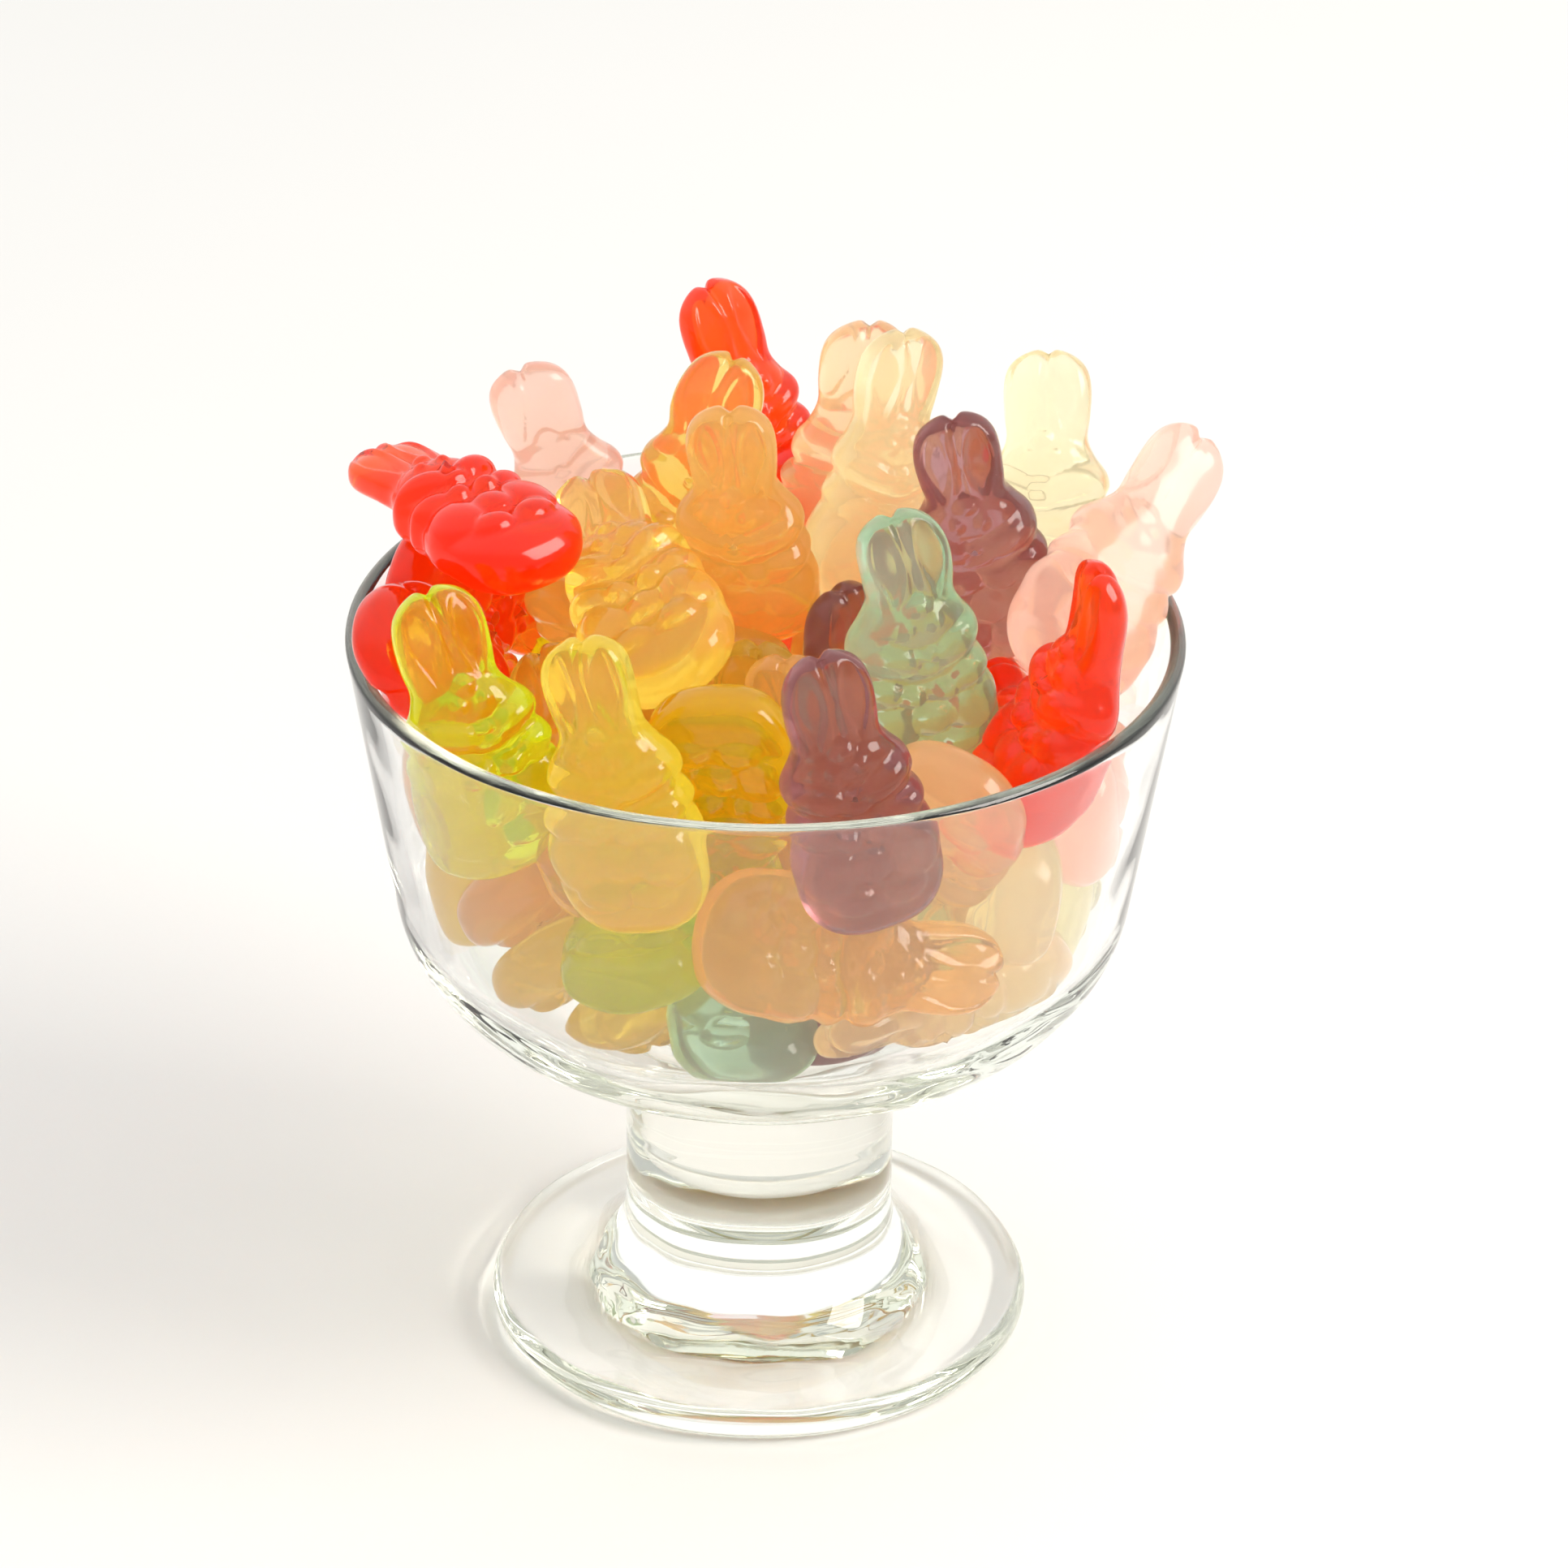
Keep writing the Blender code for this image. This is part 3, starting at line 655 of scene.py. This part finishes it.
@dataclass
class Heap:
    """Every sweet in the glass, and how they settle against each other."""

    glass: Glass
    bunny: Bunny = field(default_factory=Bunny)
    shown: tuple[Lie, ...] = STANDING + BETWEEN + AT_THE_GLASS
    fill_count: int = 17
    fill_seed: int = 5
    fill_tries: int = 60
    fill_radius: float = 38.0                         # mm from the axis
    fill_spread: tuple[float, float] = (-0.3, 3.4)    # radians: the back of the glass
    fill_heights: tuple[float, float] = (56.0, 96.0)  # mm over the table
    fill_tilts: tuple[float, float] = (60, 120)       # degrees
    fill_sizes: tuple[float, float] = (0.94, 1.03)
    fill_bend: float = 1.0                            # mm
    rounds: int = 200
    shown_give: float = 0.02                          # how freely a shown sweet moves
    wall_gap: float = 0.6                             # mm that balls keep off the glass
    wall_force: float = 1.5
    wall_points: int = 7                              # on the cup's belly
    reach: float = 41.0                               # mm within which two sweets may touch
    ease: float = 0.8                                 # share of each push that is followed
    furthest_move: float = 1.5                        # mm a round
    furthest_turn: float = 0.15                       # radians a round
    turn_weight: float = 90.0                         # mm2: a longer arm turns a sweet less
    skin_gap: float = 0.1                             # mm of air between sweets and glass
    skin_gap_step: float = 0.02                       # more for each sweet
    near_steps: tuple[int, int] = (72, 104)           # points round and along a bunny
    behind_steps: tuple[int, int] = (56, 80)
    hidden_steps: tuple[int, int] = (32, 48)
    balls: tuple = (                                  # (across, height, radius) in mm
        (4.3, 4.9, 4.6), (0.0, 4.9, 4.7), (4.4, 9.8, 4.7), (0.0, 9.8, 4.8), (3.7, 14.8, 4.5),
        (0.0, 14.8, 4.6), (2.9, 20.5, 4.4), (2.2, 25.4, 3.6), (2.2, 30.2, 3.0), (2.2, 34.8, 2.8))

    def drawn_fill(self) -> tuple[list, list, list]:
        """Draw the sweets that fill the glass behind the shown ones, from a fixed seed.

        Each takes the roomiest of a number of random places.

        Returns:
            Middles, rotations and sizes.
        """
        draw = np.random.RandomState(self.fill_seed)
        taken = [lie.middle for lie in self.shown]
        middles, turns, sizes = [], [], []
        for _ in range(self.fill_count):
            reach = self.fill_radius * np.sqrt(draw.uniform(size=self.fill_tries))
            angle = draw.uniform(*self.fill_spread, self.fill_tries)
            height = draw.uniform(*self.fill_heights, self.fill_tries)
            places = np.stack([reach * np.cos(angle), reach * np.sin(angle), height], axis=1)
            room = np.linalg.norm(places[:, None] - np.array(taken + middles), axis=2).min(1)
            middles.append(tuple(places[room.argmax()]))
            tilt = draw.uniform(*self.fill_tilts)
            heading, turn = draw.uniform(0, 360), draw.uniform(0, 360)
            turns.append(Lie(F.GOLD, middles[-1], tilt, heading, turn).rotation())
            sizes.append(draw.uniform(*self.fill_sizes))
        return middles, turns, sizes

    @staticmethod
    def small_turns(vectors: Array) -> Array:
        """Rotation matrices of an array of rotation vectors.

        Each is the identity, plus the angle's sine times the axis's cross matrix,
        plus 1 less the cosine times that matrix squared.

        Args:
            vectors: Axes, each as long as its angle in radians.

        Returns:
            One 3 x 3 matrix for each vector.
        """
        angle = np.linalg.norm(vectors, axis=-1, keepdims=True)
        axis = vectors / np.maximum(angle, 1e-12)
        cross = np.zeros(vectors.shape[:-1] + (3, 3))
        cross[..., 0, 1], cross[..., 0, 2] = -axis[..., 2], axis[..., 1]
        cross[..., 1, 0], cross[..., 1, 2] = axis[..., 2], -axis[..., 0]
        cross[..., 2, 0], cross[..., 2, 1] = -axis[..., 1], axis[..., 0]
        angle = angle[..., None]
        return np.eye(3) + np.sin(angle) * cross + (1 - np.cos(angle)) * (cross @ cross)

    def wall_push(self, centres: Array, radii: Array, gap: float) -> Array:
        """How far each ball has to move to clear the glass.

        A ball's distance is measured to the nearest stretch of the cup's inner line,
        in the plane through the axis, and above the rim to the round lip.

        Args:
            centres: Ball centres in mm.
            radii: Ball radii.
            gap: Distance that is kept clear.

        Returns:
            The move of each ball, as a vector.
        """
        profile = self.glass.inside(self.wall_points)
        away = np.hypot(centres[:, 0], centres[:, 1])
        flat = np.stack([away, centres[:, 2]], axis=1)
        start, along = profile[:-1], profile[1:] - profile[:-1]
        share = ((flat[:, None] - start) * along).sum(-1) / (along ** 2).sum(-1)
        offset = flat[:, None] - (start + np.clip(share, 0, 1)[..., None] * along)
        nearest = (offset ** 2).sum(-1).argmin(1)
        inward = np.stack([-along[nearest, 1], along[nearest, 0]], axis=1)
        inward /= np.linalg.norm(inward, axis=1, keepdims=True)
        clear = (offset[np.arange(len(flat)), nearest] * inward).sum(1)
        top, lip = self.glass.height - self.glass.lip, self.glass.lip
        below = centres[:, 2] <= top
        push = inward * (np.maximum(radii + gap - clear, 0) * below)[:, None]
        from_lip = flat - np.array([self.glass.rim_radius - lip, top])
        reach = np.linalg.norm(from_lip, axis=1)
        lift = np.maximum(radii + lip + gap - reach, 0) * ~below
        push += from_lip / np.maximum(reach, 1e-9)[:, None] * lift[:, None]
        outward = centres[:, :2] / np.maximum(away, 1e-9)[:, None]
        return np.concatenate([outward * push[:, :1], push[:, 1:]], axis=1)

    def settled(self) -> tuple[Array, Array, Array]:
        """Push overlapping sweets apart, and off the glass, until they only touch.

        Each sweet is a set of balls. A ball that overlaps another's moves and turns
        its sweet by half the overlap, and the glass pushes every ball in.

        Returns:
            Middles, rotations and sizes of all the sweets.
        """
        middles, turns, sizes = self.drawn_fill()
        count = len(self.shown)
        give = np.array([self.shown_give] * count + [1.0] * len(middles))
        middles = np.array([lie.middle for lie in self.shown] + middles, float)
        turns = np.array([lie.rotation() for lie in self.shown] + turns)
        sizes = np.array([lie.size for lie in self.shown] + sizes)
        sides = [(ball, side) for ball in self.balls for side in ((1, -1) if ball[0] else (1,))]
        balls = np.array([(side * x, 0.0, z, radius) for (x, z, radius), side in sides])
        offsets = (balls[:, :3] - np.array([0.0, 0.0, self.bunny.middle]))[None] * sizes[:, None, None]
        radii = balls[None, :, 3] * sizes[:, None]
        first, second = np.triu_indices(len(middles), 1)
        for _ in range(self.rounds):
            near = np.linalg.norm(middles[first] - middles[second], axis=1) < self.reach
            one, two = first[near], second[near]
            arms = offsets @ np.transpose(turns, (0, 2, 1))
            centres = middles[:, None] + arms
            apart = centres[one][:, :, None] - centres[two][:, None]
            distance = np.sqrt((apart ** 2).sum(-1))
            overlap = np.maximum(radii[one][:, :, None] + radii[two][:, None] - distance, 0)
            force = apart * (0.5 * overlap / np.maximum(distance, 1e-6))[..., None]
            push = self.wall_push(centres.reshape(-1, 3), radii.ravel(), self.wall_gap)
            push = self.wall_force * push.reshape(centres.shape)
            np.add.at(push, one, force.sum(2))
            np.add.at(push, two, -force.sum(1))
            touched = np.maximum((np.abs(push).sum(-1) > 1e-6).sum(1), 1)
            ease = (self.ease * give / touched)[:, None]
            middles = middles + np.clip(push.sum(1) * ease, -self.furthest_move, self.furthest_move)
            spin = np.cross(arms, push).sum(1) / self.turn_weight * ease
            spin = np.clip(spin, -self.furthest_turn, self.furthest_turn)
            turns = self.small_turns(spin) @ turns
        return middles, turns, sizes

    def build(self) -> dict[Flavour, bpy.types.Object]:
        """Make one piece for each colour of sweet, all its bunnies in it.

        Returns:
            The pieces by colour.
        """
        middles, turns, sizes = self.settled()
        near, behind, hidden = (self.bunny.shape(*steps)
                                for steps in (self.near_steps, self.behind_steps, self.hidden_steps))
        draw = np.random.RandomState(self.fill_seed)
        batches: dict[Flavour, list] = {}
        for i, (middle, turn, size) in enumerate(zip(middles, turns, sizes)):
            shown = i < len(self.shown)
            flavour = self.shown[i].flavour if shown else FILL_FLAVOURS[i % len(FILL_FLAVOURS)]
            bend = self.shown[i].bend if shown else self.fill_bend
            points, quads, caps = near if i < len(STANDING + BETWEEN) else behind if shown else hidden
            body = self.bunny.bent(self.bunny.uneven(points, draw), bend, size)
            placed = body @ turn.T + middle
            # Those listed first lie nearest the glass, so that no two are pressed to one skin.
            gap = self.skin_gap + self.skin_gap_step * i
            placed += self.wall_push(placed, np.zeros(len(placed)), gap)
            batches.setdefault(flavour, []).append((placed, quads, caps))
        made = {}
        for flavour, batch in batches.items():
            starts = np.cumsum([0] + [len(b[0]) for b in batch[:-1]])
            piece = mesh_piece(f"gummies_{flavour.value}", np.concatenate([b[0] for b in batch]),
                               np.concatenate([b[1] + s for b, s in zip(batch, starts)]),
                               np.concatenate([b[2] + s for b, s in zip(batch, starts)]))
            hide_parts("gummy_heap")
            made[flavour] = piece
        return made


# --- Finishes ----------------------------------------------------------------


@dataclass(frozen=True)
class PressedGlass:
    """Soda-lime glass, pressed in a polished mould: clear, with a faint grey-green in its depth, and in
    that depth a painted warm cast that stands for warm light thrown on it by the sweets and the card.
    """

    depth_colour: str = "#E8EBDF"  # what it leaves of white light at the depth below: the glass's grey-green, plus a painted warm cast for light from the sweets and card
    depth: float = 0.1             # metres
    roughness: float = 0.0
    ior: float = 1.52
    wave_scale: float = 110.0      # waves about 9 mm long
    wave_strength: float = 0.25
    wave_height: float = 0.0002    # metres

    def material(self) -> bpy.types.Material:
        """Make the glass: smooth refraction, a slight waviness and absorption.

        Returns:
            The material.
        """
        made = bpy.data.materials.new("pressed_soda_lime_glass")
        made.use_nodes = True
        tree = made.node_tree
        shader = tree.nodes["Principled BSDF"]
        shader.inputs["Base Color"].default_value = (1, 1, 1, 1)
        shader.inputs["Roughness"].default_value = self.roughness
        shader.inputs["IOR"].default_value = self.ior
        shader.inputs["Transmission Weight"].default_value = 1.0
        place = add_node(tree, "ShaderNodeTexCoord")
        # The waves from the mould's polish bend what is seen through the wall.
        wave = add_node(tree, "ShaderNodeTexNoise", {"Scale": self.wave_scale, "Detail": 0.0},
                        {"Vector": place.outputs["Object"]})
        bump = add_node(tree, "ShaderNodeBump",
                        {"Strength": self.wave_strength, "Distance": self.wave_height},
                        {"Height": wave.outputs["Fac"]})
        tree.links.new(bump.outputs["Normal"], shader.inputs["Normal"])
        # The absorption's colour is partly painted light: its warm cast stands for warm light from the
        # sweets and card.
        depth = add_node(tree, "ShaderNodeVolumeAbsorption",
                         absorbing(np.array(linear(self.depth_colour)), self.depth))
        tree.links.new(depth.outputs["Volume"], tree.nodes["Material Output"].inputs["Volume"])
        return made


@dataclass(frozen=True)
class Gummy:
    """Gelatine gummy, cast in starch: a frosted skin round a coloured, slightly cloudy body."""

    name: str
    depth_colour: str             # what it leaves of white light at the depth below
    haze: float = 90.0            # scatterings per metre in its cloudy body
    frost: float = 0.12           # roughness of the starch-cast skin
    ior: float = 1.40
    depth: float = 0.01           # metres
    skin_share: float = 0.6       # part of the colour that sits in the skin
    forward: float = 0.5          # how far its scatter keeps to the light's own way
    cloud_scale: float = 140.0    # clouds of about 7 mm
    cloud_range: tuple[float, float] = (0.3, 0.7)
    cloud_contrast: float = 0.12  # of the colour
    frost_contrast: float = 0.3   # of the roughness
    darkest: float = 0.002        # no colour is lost altogether

    def material(self) -> bpy.types.Material:
        """Make the sweet: frosted refraction round absorption and soft scatter.

        Returns:
            The material.
        """
        made = bpy.data.materials.new(f"gelatine_gummy_{self.name}")
        made.use_nodes = True
        tree = made.node_tree
        shader = tree.nodes["Principled BSDF"]
        place = add_node(tree, "ShaderNodeTexCoord")
        # The colour is a little stronger in clouds, where the syrup was thicker.
        clouds = add_node(tree, "ShaderNodeTexNoise", {"Scale": self.cloud_scale, "Detail": 0.0},
                          {"Vector": place.outputs["Object"]})
        thin, thick = self.cloud_range
        share = add_node(tree, "ShaderNodeMapRange", {"From Min": thin, "From Max": thick},
                         {"Value": clouds.outputs["Fac"]})
        uneven = add_node(tree, "ShaderNodeMix", {"data_type": "RGBA"})
        tree.links.new(share.outputs["Result"], uneven.inputs[0])
        depth_colour = np.maximum(linear(self.depth_colour), self.darkest)
        skin = depth_colour ** self.skin_share
        uneven.inputs[6].default_value = (*(skin ** (1 - self.cloud_contrast)), 1)
        uneven.inputs[7].default_value = (*(skin ** (1 + self.cloud_contrast)), 1)
        tree.links.new(uneven.outputs[2], shader.inputs["Base Color"])
        # Starch leaves patches that are duller or wetter, of the same size as the clouds.
        dull = add_node(tree, "ShaderNodeMapRange",
                        {"To Min": self.frost * (1 + self.frost_contrast),
                         "To Max": self.frost * (1 - self.frost_contrast)},
                        {"Value": clouds.outputs["Fac"]})
        tree.links.new(dull.outputs["Result"], shader.inputs["Roughness"])
        shader.inputs["IOR"].default_value = self.ior
        shader.inputs["Transmission Weight"].default_value = 1.0
        depth = add_node(tree, "ShaderNodeVolumeAbsorption",
                         absorbing(depth_colour ** (1 - self.skin_share), self.depth))
        cloud = add_node(tree, "ShaderNodeVolumeScatter",
                         {"Color": (1, 1, 1, 1), "Density": self.haze, "Anisotropy": self.forward})
        body = add_node(tree, "ShaderNodeAddShader")
        tree.links.new(depth.outputs["Volume"], body.inputs[0])
        tree.links.new(cloud.outputs["Volume"], body.inputs[1])
        tree.links.new(body.outputs["Shader"], tree.nodes["Material Output"].inputs["Volume"])
        return made


GUMMIES = {
    F.RED: Gummy("red", "#FF4A0C", 110),
    F.PINK: Gummy("pink", "#FFDBCA", 150, 0.16),
    F.YELLOW: Gummy("yellow", "#FFEE6C", 80),
    F.CLEAR_YELLOW: Gummy("clear_yellow", "#FFF08C", 60, 0.1),
    F.GOLD: Gummy("gold", "#FFE674", 90),
    F.ORANGE: Gummy("orange", "#FFDA86", 110),
    F.CORAL: Gummy("coral", "#FFD080", 140),
    F.PEACH: Gummy("peach", "#FFE6BA", 120, 0.15),
    F.CREAM: Gummy("cream", "#FFF9D2", 110, 0.15),
    F.PURPLE: Gummy("purple", "#B88488", 55, 0.11),
    F.MINT: Gummy("mint", "#CEF5DE", 65),
    F.LIME: Gummy("lime", "#EEFB34", 70),
    F.AMBER: Gummy("amber", "#FFE12C", 70, 0.1),
}


# --- Studio ------------------------------------------------------------------


@dataclass(frozen=True)
class Tabletop:
    """Matt white card, uncoated: very faint mottling from its pulp."""

    colour: str = "#E0DFDC"
    roughness: float = 0.85
    shine: float = 0.2        # specular level
    pulp_scale: float = 16.0  # clouds of about 60 mm
    pulp_detail: float = 4.0
    mottle: float = 0.985     # brightness of its darker patches

    def material(self) -> bpy.types.Material:
        """Make the card: dull white, mixed with a slightly darker white by the pulp's clouds.

        Returns:
            The material.
        """
        made = bpy.data.materials.new("matt_white_card")
        made.use_nodes = True
        tree = made.node_tree
        shader = tree.nodes["Principled BSDF"]
        place = add_node(tree, "ShaderNodeTexCoord")
        pulp = add_node(tree, "ShaderNodeTexNoise",
                        {"Scale": self.pulp_scale, "Detail": self.pulp_detail},
                        {"Vector": place.outputs["Object"]})
        mix = add_node(tree, "ShaderNodeMix", {"data_type": "RGBA"})
        base = linear(self.colour)
        mix.inputs[6].default_value = (*(c * self.mottle for c in base), 1)
        mix.inputs[7].default_value = (*base, 1)
        tree.links.new(pulp.outputs["Fac"], mix.inputs[0])
        tree.links.new(mix.outputs[2], shader.inputs["Base Color"])
        shader.inputs["Roughness"].default_value = self.roughness
        shader.inputs["Specular IOR Level"].default_value = self.shine
        return made


@dataclass
class Studio:
    """Card floor, white tent, one softbox at the right front, and the camera, in mm and degrees."""

    floor_reach: float = 2600.0  # half side
    floor_lines: int = 9         # of its grid, each way
    floor_drop: float = 0.3      # air under the foot
    box_place: tuple[float, float, float] = (700.0, -220.0, 560.0)
    box_aim: tuple[float, float, float] = (0.0, 0.0, 80.0)
    box_side: float = 460.0
    box_power: float = 7.0       # watts
    box_colour: str = "#FFF9F2"
    sky_strength: float = 1.25
    tent_middle: tuple[float, float, float] = (0.0, 0.60, 0.80)
    tent_edge: float = 0.6       # cosine from its middle at which it is plain white
    room_colour: tuple[float, float, float] = (0.50, 0.51, 0.50)
    pitch: float = 28.9          # that the camera looks down
    distance: float = 720.0
    target: tuple[float, float, float] = (2.5, 0.0, 76.5)
    roll: float = 0.74
    focal_pixels: float = 7060.0
    frame_pixels: float = 1932.0
    sensor: float = 36.0
    bounces: int = 24            # through skin, glass and skin again
    volume_bounces: int = 12

    def floor(self) -> None:
        """Lay the card that the glass stands on: a flat square grid."""
        count = self.floor_lines
        line = np.linspace(-self.floor_reach, self.floor_reach, count)
        x, y = np.meshgrid(line, line, indexing="ij")
        points = np.stack([x, y, np.full_like(x, -self.floor_drop)], axis=-1).reshape(-1, 3)
        a = np.arange(count ** 2).reshape(count, count)[:-1, :-1].ravel()
        quads = np.stack([a, a + count, a + count + 1, a + 1], axis=1)
        card = mesh_piece("card", points, quads, np.zeros((0, 3), int), "")
        card.data.materials.append(Tabletop().material())

    def softbox(self) -> None:
        """Hang a square softbox at the right front, over the table, that points at the glass."""
        lamp = bpy.data.lights.new("softbox_right", "AREA")
        lamp.shape = "SQUARE"
        lamp.size = self.box_side * MM
        lamp.energy = self.box_power
        lamp.color = linear(self.box_colour)
        box = bpy.data.objects.new("softbox_right", lamp)
        box.location = [c * MM for c in self.box_place]
        way = np.array(self.box_aim) - np.array(self.box_place)
        tilt = math.acos(-way[2] / np.linalg.norm(way))
        box.rotation_euler = (tilt, 0, math.atan2(way[1], way[0]) - math.pi / 2)
        bpy.context.scene.collection.objects.link(box)

    def sky(self) -> None:
        """White tent over and behind the table, open to a dimmer room at the front.

        Its light falls off with the angle from the tent's middle, up and back.
        """
        world = bpy.data.worlds.new("tent")
        world.use_nodes = True
        tree = world.node_tree
        place = add_node(tree, "ShaderNodeTexCoord")
        lean = add_node(tree, "ShaderNodeVectorMath", {"operation": "DOT_PRODUCT"})
        lean.inputs[1].default_value = self.tent_middle
        tree.links.new(place.outputs["Generated"], lean.inputs[0])
        ramp = add_node(tree, "ShaderNodeValToRGB", None, {"Fac": lean.outputs["Value"]})
        ramp.color_ramp.interpolation = "EASE"
        ramp.color_ramp.elements[0].position = 0.0
        ramp.color_ramp.elements[0].color = (*self.room_colour, 1)
        ramp.color_ramp.elements[1].position = self.tent_edge
        ramp.color_ramp.elements[1].color = (1.0, 1.0, 1.0, 1)
        back = tree.nodes["Background"]
        tree.links.new(ramp.outputs["Color"], back.inputs["Color"])
        back.inputs["Strength"].default_value = self.sky_strength
        bpy.context.scene.world = world

    def camera(self) -> None:
        """Set the camera: it looks down on the target from the front, rolled a little."""
        lens = bpy.data.cameras.new("camera")
        lens.sensor_width = self.sensor
        lens.lens = self.sensor * self.focal_pixels / self.frame_pixels
        lens.clip_end = 20.0
        seat = bpy.data.objects.new("camera", lens)
        pitch = math.radians(self.pitch)
        x, y, z = self.target
        seat.location = (x * MM, (y - self.distance * math.cos(pitch)) * MM,
                         (z + self.distance * math.sin(pitch)) * MM)
        seat.rotation_mode = "XYZ"
        seat.rotation_euler = (math.radians(90) - pitch, 0, 0)
        seat.rotation_euler.rotate_axis("Z", math.radians(self.roll))
        bpy.context.scene.collection.objects.link(seat)
        bpy.context.scene.camera = seat

    def build(self) -> None:
        """Set floor, softbox, sky and camera, and how far light is followed."""
        self.floor()
        self.softbox()
        self.sky()
        self.camera()
        scene = bpy.context.scene
        scene.view_settings.view_transform = "Standard"
        scene.cycles.max_bounces = self.bounces
        scene.cycles.transmission_bounces = self.bounces
        scene.cycles.glossy_bounces = self.bounces
        scene.cycles.diffuse_bounces = self.bounces
        scene.cycles.volume_bounces = self.volume_bounces
        scene.cycles.use_light_tree = False
        scene.world.cycles.sampling_method = "NONE"
        scene.cycles.blur_glossy = 0.0


def main() -> None:
    """Build the dressed model and its studio, and report each piece."""
    logging.basicConfig(level=logging.INFO, format="%(message)s")
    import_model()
    Studio().build()
    glass = Glass()
    turned = glass.build()
    turned.data.materials.append(PressedGlass().material())
    log.info("%s: %d faces", turned.name, len(turned.data.polygons))
    for flavour, piece in Heap(glass).build().items():
        piece.data.materials.append(GUMMIES[flavour].material())
        log.info("%s: %d faces", piece.name, len(piece.data.polygons))


if __name__ == "__main__":
    main()
